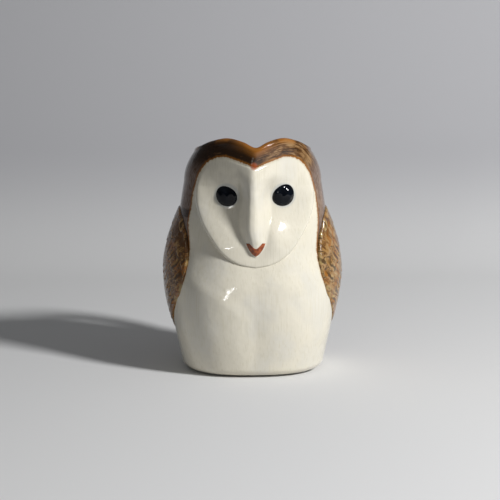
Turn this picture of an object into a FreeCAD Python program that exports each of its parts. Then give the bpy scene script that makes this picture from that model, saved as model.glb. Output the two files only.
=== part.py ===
import FreeCAD, Part
import math
import os

os.makedirs("parts", exist_ok=True)

# A ceramic pitcher shaped as a barn owl.
# The origin is at the middle of the foot, on the table. +Z is up, the owl looks along -Y,
# and left and right are the owl's own, so its left side is at +X. Lengths are millimetres.

# Body
height = 110.0
crown_depth = 22.0
body_half_width = 37.8
chest_reach = 35.0
back_reach = 31.0
wall = 4.0
base_round = 3.2
floor_thickness = 5.2
floor_round = 7.0
front_power = 2.5
back_power = 2.2

# Rim of the mouth, measured to the outside of the lip
rim_half_width = 27.2
rim_front_reach = 26.0
rim_back_reach = 22.0

# Wedge of the brow, which starts below the crown and runs up to the lip
brow_height = 12.0
brow_rise = 9.2
brow_half_width = 21.0
brow_ridge_radius = 1.6
brow_power = 1.35

# Foot
foot_height = 0.8
foot_inset = 3.0
foot_width = 5.0

# Face
face_width = 55.0
face_height = 50.4
face_top_drop = 8.5
face_relief = 2.2

# Nose and beak
nose_top_drop = 4.0
nose_half_width = 8.6
nose_reach = 9.2
nose_ridge_radius = 2.4
beak_tip_rise = 5.9
beak_height = 6.6
beak_notch_height = 3.0
beak_notch_half_width = 2.9

# Eyes
eye_spacing_share = 0.469
eye_drop_share = 0.347
eye_radius = 5.0
eye_proud = 2.0

# Wings
wing_tip_height = 8.0
wing_length = 68.0
wing_bulge = 4.8
wing_edge_lift = 0.7

# Tail
tail_tip_height = 4.5
tail_handle_gap = 6.5
tail_half_angle = 17.0
tail_bulge = 2.6
tail_edge_lift = 0.8

# Handle, with its roots given at the middle of its thickness
handle_top_drop = 24.0
handle_bottom_height = 36.0
handle_reach = 19.0
handle_width = 10.0
handle_thickness = 7.0
handle_sink = 5.0
handle_root_share = 1.35

# How deep a piece is drawn into its neighbour before it is cut back to the surface,
# and the rings of that hidden part: scale about the middle, and depth in seats
seat = 1.5
seat_shares = [(0.1, 6.0), (0.6, 5.0), (1.0, 1.0)]

# Height, half width, front reach and back reach of the trunk at each level
trunk_shares = [
    (0.000, 0.862, 0.871, 0.897),
    (0.136, 0.928, 0.943, 0.955),
    (0.250, 0.982, 0.986, 0.994),
    (0.364, 1.000, 1.000, 1.000),
    (0.477, 0.990, 0.980, 1.000),
    (0.568, 0.966, 0.931, 0.987),
    (0.682, 0.937, 0.857, 0.968),
    (0.795, 0.921, 0.789, 0.948),
    (0.909, 0.882, 0.740, 0.929),
    (1.000, 0.848, 0.720, 0.903),
]

# Height of the rim at each angle from the back, as a share of the height
rim_shares = [
    (0.0, 0.891),
    (45.0, 0.912),
    (90.0, 0.941),
    (120.0, 0.963),
    (136.0, 0.985),
    (152.0, 1.000),
    (168.0, 0.987),
    (180.0, 0.967),
]

# How far the brow stands out, from its start at 0 over the crown's start at 1 to the lip at 2
brow_shares = [
    (0.0, 0.0),
    (0.33, 0.04),
    (0.67, 0.19),
    (1.0, 0.48),
    (1.26, 0.89),
    (1.5, 1.0),
    (1.75, 0.98),
    (2.0, 0.93),
]

# Half of the heart-shaped face, from the notch at the top round to the chin
face_shares = [
    (0.00, 0.917),
    (0.255, 0.956),
    (0.53, 1.00),
    (0.735, 0.962),
    (0.895, 0.857),
    (1.00, 0.70),
    (0.99, 0.554),
    (0.91, 0.405),
    (0.753, 0.254),
    (0.536, 0.11),
    (0.28, 0.03),
    (0.00, 0.00),
]
face_middle_share = 0.5

# Rings of the face from its edge to its middle: scale and share of the relief
face_step_shares = [
    (1.00, 0.45),
    (0.96, 0.90),
    (0.90, 1.00),
    (0.72, 1.00),
    (0.50, 1.00),
    (0.28, 1.00),
    (0.08, 1.00),
]

# How far the face stands out at each height up it, and how much more at its sides,
# as shares of the relief
face_relief_shares = [
    (0.0, 0.27, 0.0),
    (0.09, 0.6, 0.0),
    (0.2, 1.0, 0.0),
    (0.32, 0.91, 0.25),
    (0.44, 0.59, 0.8),
    (0.56, 0.41, 1.15),
    (0.69, 0.37, 1.05),
    (0.83, 0.41, 0.4),
    (1.0, 0.45, 0.0),
]
face_flat_share = 0.535

# Nose sections from the brow down: height, half width and reach
nose_shares = [
    (1.00, 0.93, 0.04),
    (0.87, 1.00, 0.20),
    (0.78, 0.95, 0.52),
    (0.69, 0.91, 0.85),
    (0.57, 0.87, 1.00),
    (0.42, 0.81, 0.86),
    (0.25, 0.66, 0.57),
    (0.17, 0.55, 0.40),
    (0.10, 0.42, 0.25),
    (0.04, 0.27, 0.15),
    (0.00, 0.13, 0.05),
]

# Places across a nose section, and the power that rounds its ridge
nose_across_shares = [-1.0, -0.7, -0.4, -0.15, 0.0, 0.15, 0.4, 0.7, 1.0]
nose_power = 1.5

# Wing outline: angle from the back in degrees, and height up the wing
wing_shares = [
    (92.0, 1.00),
    (110.0, 0.97),
    (122.0, 0.89),
    (127.5, 0.78),
    (129.5, 0.66),
    (127.0, 0.53),
    (118.0, 0.38),
    (105.0, 0.26),
    (90.0, 0.165),
    (70.0, 0.08),
    (48.0, 0.02),
    (31.0, 0.00),
    (22.0, 0.08),
    (19.0, 0.25),
    (22.0, 0.46),
    (31.0, 0.67),
    (46.0, 0.84),
    (68.0, 0.95),
]
wing_middle_angle = 82.0
wing_middle_share = 0.63

# Rings of a wing from its edge to its middle, and the power that shapes its bulge
wing_step_shares = [1.0, 0.97, 0.86, 0.72, 0.56, 0.38, 0.2, 0.06]
wing_power = 1.6

# Tail outline: share of the half angle, and height up the tail
tail_shares = [
    (0.0, 1.00),
    (0.45, 0.86),
    (0.75, 0.60),
    (0.95, 0.25),
    (0.90, 0.06),
    (0.45, 0.00),
    (0.0, 0.00),
]
tail_middle_share = 0.35
tail_step_shares = [1.0, 0.9, 0.7, 0.4, 0.1]

# Rings of an eye from the hidden one to the middle of its cap, as shares of its radius
eye_step_shares = [1.2, 1.0, 0.85, 0.65, 0.4, 0.15]

# Weights of the near and far corners in a point midway along a rounded side
near_weight = 9 / 16
far_weight = 1 / 16

ring_points = 72
eye_points = 24
handle_points = 16
handle_steps = 8
crown_step_shares = [0.3, 0.55, 0.78, 1.0]
round_angles = [0.0, 35.0, 65.0]
lip_angles = [30.0, 60.0, 90.0, 120.0, 150.0]

lip_radius = wall / 2
crown_start = height - crown_depth
face_top = height - face_top_drop
face_bottom = face_top - face_height
nose_length = face_height - nose_top_drop - beak_tip_rise
handle_span = height - handle_top_drop - handle_bottom_height
tail_length = handle_bottom_height - tail_handle_gap - tail_tip_height


def between(rows, at, column):
    """The value in a column of a table at a place in its first column."""
    if at <= rows[0][0]:
        return rows[0][column]
    for low, high in zip(rows, rows[1:]):
        if at <= high[0]:
            share = (at - low[0]) / (high[0] - low[0])
            return low[column] + (high[column] - low[column]) * share
    return rows[-1][column]


def eased(rows, at):
    """A smooth value through the (place, value) pairs of a table, level at both ends."""
    for i in range(len(rows) - 1):
        if at <= rows[i + 1][0]:
            break
    slopes = []
    for k in (i, i + 1):
        if k == 0 or k == len(rows) - 1:
            slopes.append(0.0)
        else:
            slopes.append((rows[k + 1][1] - rows[k - 1][1]) / (rows[k + 1][0] - rows[k - 1][0]))
    span = rows[i + 1][0] - rows[i][0]
    t = (at - rows[i][0]) / span
    rise = rows[i + 1][1] - rows[i][1]
    start = span * slopes[0]
    end = span * slopes[1]
    square = 3 * rise - 2 * start - end
    cube = start + end - 2 * rise
    return rows[i][1] + start * t + square * t ** 2 + cube * t ** 3


def rim_height(angle):
    """Top of the lip at an angle in degrees from the back, alike on both sides."""
    turned = abs((angle + 180.0) % 360.0 - 180.0)
    return height * eased(rim_shares, turned)


def crown_rise(angle, z):
    """How far a height is up the crown, from 0 at its start to 1 under the lip."""
    return max(0.0, z - crown_start) / (rim_height(angle) - lip_radius - crown_start)


def reaches(angle, z):
    """Half width, front reach and back reach of the outer surface at a height."""
    share = min(z, crown_start) / crown_start
    sizes = [
        body_half_width * between(trunk_shares, share, 1),
        chest_reach * between(trunk_shares, share, 2),
        back_reach * between(trunk_shares, share, 3),
    ]
    rim = [rim_half_width, rim_front_reach, rim_back_reach]
    return [size + (end - size) * crown_rise(angle, z) ** 2 for size, end in zip(sizes, rim)]


def ridged(x, radius):
    """A distance from the middle that is rounded off at the middle."""
    return math.sqrt(x ** 2 + radius ** 2) - radius


def brow(x, z, angle):
    """How far the wedge of the brow stands out of the front at a place."""
    climb = max(0.0, 1 + (min(z, crown_start) - crown_start) / brow_height) + crown_rise(angle, z)
    lean = max(0.0, 1 - ridged(x, brow_ridge_radius) / brow_half_width) ** brow_power
    return brow_rise * eased(brow_shares, climb) * lean


def skin(angle, z, out=0.0):
    """A point of the outer surface, moved outwards by a distance. Over the rim it rises straight."""
    low = min(z, rim_height(angle) - lip_radius)
    half, front, back = reaches(angle, low)
    side = math.sin(math.radians(angle))
    along = math.cos(math.radians(angle))
    power = back_power if along > 0 else front_power
    radius = (abs(side) ** power + abs(along) ** power) ** (-1 / power)
    x = (half + out) * radius * side
    if along > 0:
        return FreeCAD.Vector(x, (back + out) * radius * along, z)
    return FreeCAD.Vector(x, (front + out) * radius * along - brow(x, low, angle), z)


def front_skin(x, z, out=0.0):
    """A point on the front of the outer surface at a place across and up, found by halving."""
    low, high = 90.0, 180.0
    for halving in range(20):
        middle = (low + high) / 2
        if skin(middle, z).x > abs(x):
            low = middle
        else:
            high = middle
    return FreeCAD.Vector(x, skin(low, z).y - out, z)


def facet(corners):
    """A flat face between corners."""
    return Part.Face(Part.makePolygon(corners + corners[:1]))


def skinned(rings):
    """A solid with three-cornered facets between rings of points, closed at both ends by fans."""
    faces = []
    for low, high in zip(rings, rings[1:]):
        for i in range(len(low)):
            faces.append(facet([low[i - 1], low[i], high[i]]))
            faces.append(facet([low[i - 1], high[i], high[i - 1]]))
    for end in (rings[0], rings[-1]):
        middle = sum(end, FreeCAD.Vector()) / len(end)
        for i in range(len(end)):
            faces.append(facet([end[i - 1], end[i], middle]))
    shell = Part.makeShell(faces)
    shell.sewShape()
    solid = Part.makeSolid(shell)
    if solid.Volume < 0:
        solid.reverse()
    return solid


def ring(z_at, out):
    """Points round the body, at a height that may change with the angle."""
    angles = [360.0 * i / ring_points for i in range(ring_points)]
    return [skin(angle, z_at(angle), out) for angle in angles]


def flat_ring(z, out):
    """A level ring round the body."""
    return ring(lambda angle: z, out)


def crown_ring(share, out):
    """A ring of the crown, which rises to the rim's wavy line."""
    return ring(lambda angle: crown_start + share * (rim_height(angle) - lip_radius - crown_start), out)


def outer_rings():
    """The rings of the outer surface, from the flat base up to the lip."""
    rings = []
    for angle in round_angles:
        turn = math.radians(angle)
        rings.append(flat_ring(foot_height + base_round * (1 - math.cos(turn)),
                               -base_round * (1 - math.sin(turn))))
    rings.append(flat_ring(foot_height + base_round, 0.0))
    for row in trunk_shares[1:]:
        rings.append(flat_ring(crown_start * row[0], 0.0))
    for share in crown_step_shares:
        rings.append(crown_ring(share, 0.0))
    return rings


def lip_rings():
    """The rounded lip, from the outside over the top to the inside."""
    rings = []
    for angle in lip_angles:
        turn = math.radians(angle)
        rise = lip_radius * math.sin(turn)
        inset = lip_radius * (1 - math.cos(turn))
        rings.append(ring(lambda a: rim_height(a) - lip_radius + rise, -inset))
    return rings


def inner_rings():
    """The rings of the hollow, from the lip down to the floor."""
    rings = [crown_ring(share, -wall) for share in reversed(crown_step_shares)]
    for row in reversed(trunk_shares[2:]):
        rings.append(flat_ring(crown_start * row[0], -wall))
    floor = foot_height + floor_thickness
    for angle in [90.0] + round_angles[::-1]:
        turn = math.radians(angle)
        rings.append(flat_ring(floor + floor_round * (1 - math.cos(turn)),
                               -wall - floor_round * (1 - math.sin(turn))))
    return rings


def body_shell():
    """The hollow body: one skin up the outside, over the lip and down the inside."""
    return skinned(outer_rings() + lip_rings() + inner_rings())


def body_blank():
    """The body without its hollow, which cuts each seated piece to the surface."""
    plug = flat_ring(crown_start, -rim_front_reach)
    return skinned(outer_rings() + [plug])


def foot_ring():
    """The bare ring under the base that the pitcher stands on."""
    outside = flat_ring(0.0, -base_round - foot_inset)
    inside = flat_ring(0.0, -base_round - foot_inset - foot_width)
    return facet(outside).cut(facet(inside)).extrude(FreeCAD.Vector(0, 0, foot_height))


def rounded(corners):
    """A closed outline with a point added midway along each side, on a smooth curve through the corners."""
    points = []
    for i, here in enumerate(corners):
        before = corners[i - 1]
        after = corners[(i + 1) % len(corners)]
        beyond = corners[(i + 2) % len(corners)]
        points.append(here)
        points.append(tuple(near_weight * (here[k] + after[k]) - far_weight * (before[k] + beyond[k])
                            for k in (0, 1)))
    return points


def pad(outline, middle, steps, place):
    """A raised piece on the body: rings of the outline, each at a scale and a lift.

    The hidden rings open out under the surface, and the others close in to the middle over it.
    """
    steps = [(scale, -seat * depth) for scale, depth in seat_shares] + steps
    rings = []
    for scale, lift in steps:
        points = []
        for across, up in rounded(outline):
            u = middle[0] + (across - middle[0]) * scale
            v = middle[1] + (up - middle[1]) * scale
            points.append(place(u, v, lift))
        rings.append(points)
    return skinned(rings)


def face_lift(x, z):
    """How far the face stands out of the body, a little more at its sides beside the eyes."""
    up = (z - face_bottom) / face_height
    aside = max(0.0, abs(x) / (face_width / 2) - face_flat_share) / (1 - face_flat_share)
    middle = between(face_relief_shares, up, 1)
    return face_relief * (middle + between(face_relief_shares, up, 2) * aside ** 2)


def facial_disc_blank():
    """The heart-shaped face, a low plate that is hollowed at the eyes."""
    half = face_width / 2
    right = [(half * x, face_bottom + face_height * z) for x, z in face_shares]
    left = [(-x, z) for x, z in right[-2:0:-1]]
    middle = (0.0, face_bottom + face_height * face_middle_share)

    def place(x, z, lift):
        return front_skin(x, z, lift * face_lift(x, z) if lift > 0 else lift)

    return pad(right + left, middle, face_step_shares, place)


def nose_blank():
    """The wedge from the brow to the tip of the beak, before it is cut to the face."""
    top = face_top - nose_top_drop
    rings = []
    for up, width, reach in nose_shares:
        z = top - nose_length * (1 - up)
        half = nose_half_width * width
        front = []
        back = []
        for share in nose_across_shares:
            x = half * share
            left = 1 - (ridged(x, nose_ridge_radius) / ridged(half, nose_ridge_radius)) ** nose_power
            front.append(front_skin(x, z, face_lift(x, z) + nose_reach * reach * left))
            back.append(front_skin(x, z, -seat))
        rings.append(front + back[::-1])
    return skinned(rings)


def beak_block():
    """The block that parts the beak from the nose along a V."""
    tip = face_top - nose_top_drop - nose_length
    top = tip + beak_height
    wide = 2 * nose_half_width
    deep = -2 * chest_reach
    outline = [
        FreeCAD.Vector(-wide, deep, top),
        FreeCAD.Vector(-beak_notch_half_width, deep, top),
        FreeCAD.Vector(0.0, deep, top - beak_notch_height),
        FreeCAD.Vector(beak_notch_half_width, deep, top),
        FreeCAD.Vector(wide, deep, top),
        FreeCAD.Vector(wide, deep, tip - beak_height),
        FreeCAD.Vector(-wide, deep, tip - beak_height),
    ]
    return facet(outline).extrude(FreeCAD.Vector(0, -deep, 0))


def eye(side):
    """An eyeball whose cap stands out of the face, as rings about its own axis."""
    ball = (eye_radius ** 2 + eye_proud ** 2) / (2 * eye_proud)
    z = face_top - face_height * eye_drop_share
    across = face_width * eye_spacing_share / 2
    lift = face_lift(across, z)
    seat_point = front_skin(across, z, lift)
    slope_x = front_skin(across + eye_radius, z, lift) - front_skin(across - eye_radius, z, lift)
    slope_z = front_skin(across, z + eye_radius, lift) - front_skin(across, z - eye_radius, lift)
    outward = slope_x.cross(slope_z).normalize()
    middle = seat_point + outward * (eye_proud - ball)
    rings = []
    for share in eye_step_shares:
        radius = eye_radius * share
        rise = math.sqrt(ball ** 2 - radius ** 2)
        points = []
        for i in range(eye_points):
            place = 2 * math.pi * i / eye_points
            spoke = slope_x.normalize() * math.cos(place) + slope_z.normalize() * math.sin(place)
            point = middle + outward * rise + spoke * radius
            points.append(FreeCAD.Vector(side * point.x, point.y, point.z))
        rings.append(points)
    return skinned(rings)


def wing_blank(side):
    """A folded wing, thickest at its middle, wrapped round one side of the body."""
    outline = [(angle, wing_tip_height + wing_length * up) for angle, up in wing_shares]
    middle = (wing_middle_angle, wing_tip_height + wing_length * wing_middle_share)
    steps = [(s, wing_edge_lift + wing_bulge * (1 - s ** 2) ** wing_power) for s in wing_step_shares]

    def place(angle, z, lift):
        return skin(side * angle, z, lift)

    return pad(outline, middle, steps, place)


def tail_blank():
    """The short tail at the back, between the wing tips."""
    right = [(tail_half_angle * angle, tail_tip_height + tail_length * up) for angle, up in tail_shares]
    left = [(-angle, z) for angle, z in right[-2:0:-1]]
    middle = (0.0, tail_tip_height + tail_length * tail_middle_share)
    steps = [(scale, tail_edge_lift + tail_bulge * (1 - scale ** 2)) for scale in tail_step_shares]
    return pad(right + left, middle, steps, skin)


def handle_section(middle, turn, flare):
    """An oval section of the handle, square to its path."""
    across = FreeCAD.Vector(1, 0, 0)
    along = FreeCAD.Vector(0.0, -handle_reach * math.sin(turn), handle_span / 2 * math.cos(turn))
    outward = across.cross(along.normalize())
    points = []
    for i in range(handle_points):
        place = 2 * math.pi * i / handle_points
        points.append(middle + across * (handle_width / 2 * flare * math.cos(place))
                      + outward * (handle_thickness / 2 * flare * math.sin(place)))
    return points


def handle_blank():
    """The handle: half an ellipse behind the back, flared at its roots, which run on into the body."""
    middle_z = handle_bottom_height + handle_span / 2
    root_y = reaches(0.0, middle_z)[2]
    sections = []
    for step in range(-handle_steps, handle_steps + 1):
        turn = math.radians(90.0) * step / handle_steps
        flare = 1 + (handle_root_share - 1) * abs(step / handle_steps) ** 4
        middle = FreeCAD.Vector(0.0, root_y + handle_reach * math.cos(turn),
                                middle_z + handle_span / 2 * math.sin(turn))
        if abs(step) == handle_steps:
            sunk = middle - FreeCAD.Vector(0.0, handle_sink, 0.0)
            ends = [handle_section(sunk, turn, flare), handle_section(middle, turn, flare)]
            sections += ends if step < 0 else ends[::-1]
        else:
            sections.append(handle_section(middle, turn, flare))
    return skinned(sections)


blank = body_blank()
disc_blank = facial_disc_blank()
eyes = [eye(side).cut(disc_blank).cut(blank) for side in (1, -1)]
nose = nose_blank().cut(disc_blank).cut(blank).cut(eyes[0]).cut(eyes[1])
parts = {
    "body_shell": body_shell(),
    "foot_ring": foot_ring(),
    "facial_disc": disc_blank.cut(blank),
    "nose_ridge": nose.cut(beak_block()),
    "beak": nose.common(beak_block()),
    "eye_left": eyes[0],
    "eye_right": eyes[1],
    "wing_left": wing_blank(1).cut(blank),
    "wing_right": wing_blank(-1).cut(blank),
    "tail": tail_blank().cut(blank),
    "handle": handle_blank().cut(blank),
}

for name, shape in parts.items():
    shape.exportStep("parts/" + name + ".step")
    box = shape.BoundBox
    print(name, len(shape.Solids), "solid", round(shape.Volume, 1), "mm3",
          round(box.XLength, 1), round(box.YLength, 1), round(box.ZLength, 1), shape.isValid())
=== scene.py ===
import math

import bpy
import numpy as np
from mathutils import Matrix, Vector


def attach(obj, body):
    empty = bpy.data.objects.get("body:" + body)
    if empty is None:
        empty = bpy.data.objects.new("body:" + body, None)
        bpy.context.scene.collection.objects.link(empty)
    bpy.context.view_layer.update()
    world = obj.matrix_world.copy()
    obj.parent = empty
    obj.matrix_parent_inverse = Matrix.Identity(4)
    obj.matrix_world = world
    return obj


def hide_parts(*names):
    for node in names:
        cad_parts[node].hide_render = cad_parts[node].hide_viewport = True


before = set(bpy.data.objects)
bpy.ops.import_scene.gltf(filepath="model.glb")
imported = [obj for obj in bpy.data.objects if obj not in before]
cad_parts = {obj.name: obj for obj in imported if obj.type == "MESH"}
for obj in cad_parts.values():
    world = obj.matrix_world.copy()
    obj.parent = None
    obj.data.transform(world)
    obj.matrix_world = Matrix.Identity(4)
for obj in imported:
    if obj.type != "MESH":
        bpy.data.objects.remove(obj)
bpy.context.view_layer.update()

# A ceramic pitcher shaped as a barn owl. Sizes are millimetres until a mesh is made.
# The owl looks along -Y and its left side is at +X. Angles go round from the back, in degrees,
# and are positive on the owl's left side.
MM = 0.001

# Body
HEIGHT = 110.0
CROWN_DEPTH = 22.0
BODY_HALF_WIDTH = 37.8
CHEST_REACH = 35.0
BACK_REACH = 31.0
WALL = 4.0
BASE_ROUND = 3.2
FOOT_HEIGHT = 0.8
FLOOR_THICKNESS = 5.2
FLOOR_ROUND = 7.0
FRONT_POWER = 2.5
BACK_POWER = 2.2
RIM_HALF_WIDTH = 27.2
RIM_FRONT_REACH = 26.0
RIM_BACK_REACH = 22.0
LIP_RADIUS = WALL / 2
CROWN_START = HEIGHT - CROWN_DEPTH

# Height, half width, front reach and back reach of the trunk at each level, as shares
TRUNK_SHARES = [
    (0.000, 0.862, 0.871, 0.897),
    (0.136, 0.928, 0.943, 0.955),
    (0.250, 0.982, 0.986, 0.994),
    (0.364, 1.000, 1.000, 1.000),
    (0.477, 0.990, 0.980, 1.000),
    (0.568, 0.966, 0.931, 0.987),
    (0.682, 0.937, 0.857, 0.968),
    (0.795, 0.921, 0.789, 0.948),
    (0.909, 0.882, 0.740, 0.929),
    (1.000, 0.848, 0.720, 0.903),
]

# Height of the rim at each angle from the back, as a share of the height
RIM_SHARES = [
    (0.0, 0.891),
    (45.0, 0.912),
    (90.0, 0.941),
    (120.0, 0.963),
    (136.0, 0.985),
    (152.0, 1.000),
    (168.0, 0.987),
    (180.0, 0.967),
]

# The wedge of the brow, and the share of its rise from its start at 0, over the start of the crown
# at 1, to the lip at 2
BROW_HEIGHT = 12.0
BROW_RISE = 9.2
BROW_SHARES = [
    (0.0, 0.0),
    (0.33, 0.04),
    (0.67, 0.19),
    (1.0, 0.48),
    (1.26, 0.89),
    (1.5, 1.0),
    (1.75, 0.98),
    (2.0, 0.93),
]
BROW_HALF_WIDTH = 21.0
BROW_POWER = 1.35
BROW_RIDGE_RADIUS = 1.6

# The face plate: half of its heart-shaped outline from the notch to the chin
FACE_OUTLINE = [
    (0.0, 97.4),
    (7.0, 99.8),
    (14.3, 101.6),
    (20.2, 99.6),
    (24.6, 94.3),
    (27.5, 86.4),
    (27.2, 79.0),
    (25.0, 71.5),
    (20.7, 63.9),
    (14.7, 56.6),
    (7.7, 52.6),
    (0.0, 51.1),
]
FACE_MIDDLE = 77.4
FACE_EDGE_ROUND = 0.4
FACE_SUNK = 1.2
FACE_SIDE_POINTS = 6

# How far the plate stands out at each height, and how much more at its sides
PLATE_LIFTS = [
    (50.5, 0.6, 0.0),
    (55.6, 1.3, 0.0),
    (61.2, 2.2, 0.0),
    (67.2, 2.0, 0.55),
    (73.3, 1.3, 2.0),
    (79.3, 0.9, 2.8),
    (85.9, 0.8, 2.6),
    (93.0, 0.5, 1.0),
    (97.0, 0.15, 0.2),
    (103.0, 0.02, 0.0),
]
PLATE_FLAT = 15.0
PLATE_HALF_WIDTH = 27.5

# The nose from below the beak to the brow: height, half width and reach
NOSE_ROWS = [
    (56.2, 0.5, 0.0),
    (57.2, 1.1, 0.5),
    (58.8, 2.3, 1.4),
    (61.2, 3.6, 2.3),
    (64.0, 4.7, 3.5),
    (67.3, 5.7, 4.8),
    (74.1, 7.0, 7.1),
    (80.0, 6.9, 8.1),
    (85.0, 6.4, 7.0),
    (88.5, 6.6, 4.9),
    (92.0, 7.2, 1.9),
    (97.5, 7.0, 0.2),
    (104.0, 6.0, 0.0),
]
NOSE_POWER = 1.35
NOSE_RIDGE_RADIUS = 1.3
NOSE_FLAT = 0.5
NOSE_FOOT_BLEND = 0.01
NOSE_SOFT_SHARE = 1.3
NOSE_SOFT_RISE = 1.0025

# How far the ridge leans to the owl's right, and the heights between which the lean comes and goes
NOSE_LEAN = 1.3
LEAN_START = (60.0, 70.0)
LEAN_END = (107.0, 98.0)

# The swelling of the left cheek beside the beak
CHEEK_LIFT = 1.6
CHEEK_MIDDLE = (8.4, 66.6)
CHEEK_SIZE = (5.0, 6.5)

# The breast: a bib whose edge rises to the sides, round thighs under it and a cleft between them
BIB_HEIGHT = 29.0
BIB_SLOPE = 0.62
BIB_BLUR = 4.0
THIGH_RISE = 0.45
THIGH_INNER = (0.0, 10.0)
THIGH_OUTER = (38.0, 22.0)
CLEFT_DEPTH = 0.15
CLEFT_WIDTH = 2.6
BREAST_FOOT = (1.0, 16.0)
BREAST_TOP = (76.0, 66.0)
BREAST_ANGLES = (100.0, 125.0)

# Hills of the breast: rise, place across and up, and size across and up
CROP_HILL = (0.5, 9.0, 42.0, 11.0, 8.0)
NECK_HOLLOW = (-1.0, 26.0, 56.0, 9.0, 9.0)
FOLD_HILL = (0.35, -14.5, 36.0, 5.0, 4.0)

# Beak: the outer and inner line of its V, from the middle to the tip of an arm
BEAK_OUTER = [(0.0, 56.9), (1.2, 57.6), (2.5, 59.1), (3.6, 60.9), (4.4, 62.9)]
BEAK_INNER = [(0.0, 60.6), (0.8, 61.0), (1.6, 61.7), (2.3, 62.4), (2.9, 63.1)]
BEAK_LIFT = 0.25
BEAK_SUNK = 0.9

# Eyes
EYE_ACROSS = 12.9
EYE_HEIGHT = 84.0
EYE_RADIUS = 5.0
EYE_PROUD = 2.0
EYE_TALLER = 1.07
EYE_RINGS = [1.22, 1.15, 1.0, 0.97, 0.92, 0.85, 0.76, 0.66, 0.55, 0.43, 0.3, 0.17, 0.06]

# Wing outline: angle and height, and the middle it bulges about
WING_TIP_HEIGHT = 8.0
WING_LENGTH = 68.0
WING_SHARES = [
    (92.0, 1.00),
    (110.0, 0.97),
    (122.0, 0.89),
    (127.5, 0.78),
    (129.5, 0.66),
    (127.0, 0.53),
    (118.0, 0.38),
    (105.0, 0.26),
    (90.0, 0.165),
    (70.0, 0.08),
    (48.0, 0.02),
    (31.0, 0.00),
    (22.0, 0.08),
    (19.0, 0.25),
    (22.0, 0.46),
    (31.0, 0.67),
    (46.0, 0.84),
    (68.0, 0.95),
]
WING_MIDDLE = (82.0, 52.0)
WING_BULGE = 4.8
WING_EDGE = 0.7
WING_POWER = 1.6
WING_SUNK = 1.4
WING_SHOULDER = (129.5, 78.0)
WING_TIP = (31.0, 8.0)

# Feathers of the wing: distance from the shoulder and the row that ends there
FEATHER_ROWS = [(-20.0, -2.0), (0.0, 0.0), (8.0, 1.0), (16.0, 2.0), (25.0, 3.0), (36.0, 4.0),
                (52.0, 5.0), (74.0, 6.0), (100.0, 7.0)]
FEATHER_REACH = 92.0
FEATHER_FAN = 4.0
FEATHER_RELIEF = 0.55
FEATHER_CURVE = 0.45
FEATHER_TIP_DROP = 6.0
FEATHER_WANDER = 1.1
FEATHER_WANDER_CELL = 7.0
FEATHER_EDGE = 0.9
FEATHER_FOOT = 0.25

# Tail
TAIL_OUTLINE = [
    (0.0, 29.5), (7.65, 26.0), (12.75, 19.5), (16.15, 10.75), (15.3, 6.0), (7.65, 4.5), (0.0, 4.5),
]
TAIL_MIDDLE = (0.0, 13.25)
TAIL_BULGE = 2.6
TAIL_EDGE = 0.8
TAIL_SUNK = 1.2
TAIL_GROOVES = 18
TAIL_GROOVE_FAN = 0.01
TAIL_RELIEF = 0.35
TAIL_TOP = 29.5
TAIL_FOOT = 4.5

# Handle
HANDLE_TOP_DROP = 24.0
HANDLE_BOTTOM = 36.0
HANDLE_REACH = 19.0
HANDLE_WIDTH = 10.0
HANDLE_THICKNESS = 7.0
HANDLE_SINK = 3.0
HANDLE_ROOT_SHARE = 1.35
HANDLE_ROW_LENGTH = 0.7
HANDLE_TURN_LENGTH = 4.3

# Where the brown paint ends on the body: angle and height, from the side of the face to the back
PAINT_SIDE = [
    (126.5, 84.0),
    (127.0, 76.0),
    (129.0, 67.0),
    (130.0, 56.0),
    (128.0, 44.0),
    (116.0, 34.0),
    (105.0, 25.0),
    (90.0, 20.0),
    (65.0, 14.0),
    (45.0, 10.0),
    (20.0, 7.0),
    (0.0, 6.0),
]
ARC_PER_DEGREE = 0.63
BELOW_PAINT = [(-20.0, 6.0), (-20.0, -40.0), (200.0, -40.0), (200.0, 98.3)]
PAINT_LOW = -6.0
PAINT_LOWEST_ON_FACE = 84.0
FLOW_ANGLE = 127.0
FLOW_TURN = 62.0
FLOW_ENDS = (60.0, -30.0)
INNER_BROWN = 5.0
INNER_START = 8.0
FAR = 9.0

# How far back the paint and the front of the wing are set on the owl's right, in degrees, and the
# angles and heights between which this comes and goes
RIGHT_SET_BACK = 3.0
SET_BACK_ANGLES = (60.0, 110.0)
SET_BACK_HEIGHTS = (78.0, 70.0)

# Rows and columns of the meshes
BODY_COLUMNS = 288
TRUNK_ROWS = 122
CROWN_ROWS = 27
CORNER_ROWS = 8
LIP_ROWS = 14
INNER_CROWN_ROWS = 20
INNER_ROWS = 40
FACE_COLUMNS = 440
FACE_RINGS = 108
BEAK_COLUMNS = 24
BEAK_RINGS = 14
EYE_COLUMNS = 64
WING_COLUMNS = 420
WING_RINGS = 120
TAIL_COLUMNS = 61
TAIL_RINGS = 40
HANDLE_ROWS = 110
HANDLE_COLUMNS = 48
HIDDEN_RINGS = (0.1, 0.4, 0.7)

# Glazes. Colours are linear, as they would be lit by plain white light.
CREAM = (0.835, 0.785, 0.655)
CREAM_LINES = (0.70, 0.65, 0.50)
CREAM_CLOUD = (0.78, 0.745, 0.65)
UMBER = (0.032, 0.014, 0.005)
BROWN = (0.125, 0.055, 0.017)
TAN = (0.39, 0.24, 0.11)
MAUVE = (0.25, 0.175, 0.14)
MAUVE_PALE = (0.28, 0.215, 0.18)
AMBER = (0.34, 0.125, 0.016)
OCHRE = (0.36, 0.20, 0.065)
STRAW = (0.50, 0.36, 0.14)
RUST = (0.34, 0.075, 0.022)
EYE_HALO = (0.42, 0.48, 0.52)
EYE_COLOURS = ((0.0025, 0.0035, 0.0060), (0.004, 0.006, 0.010))
BEAK_COLOURS = ((0.40, 0.09, 0.02), (0.20, 0.045, 0.014))
CLAY_COLOURS = ((0.62, 0.56, 0.46), (0.50, 0.44, 0.35))
CLOUD_MIX = (0.35, 0.7)

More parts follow.
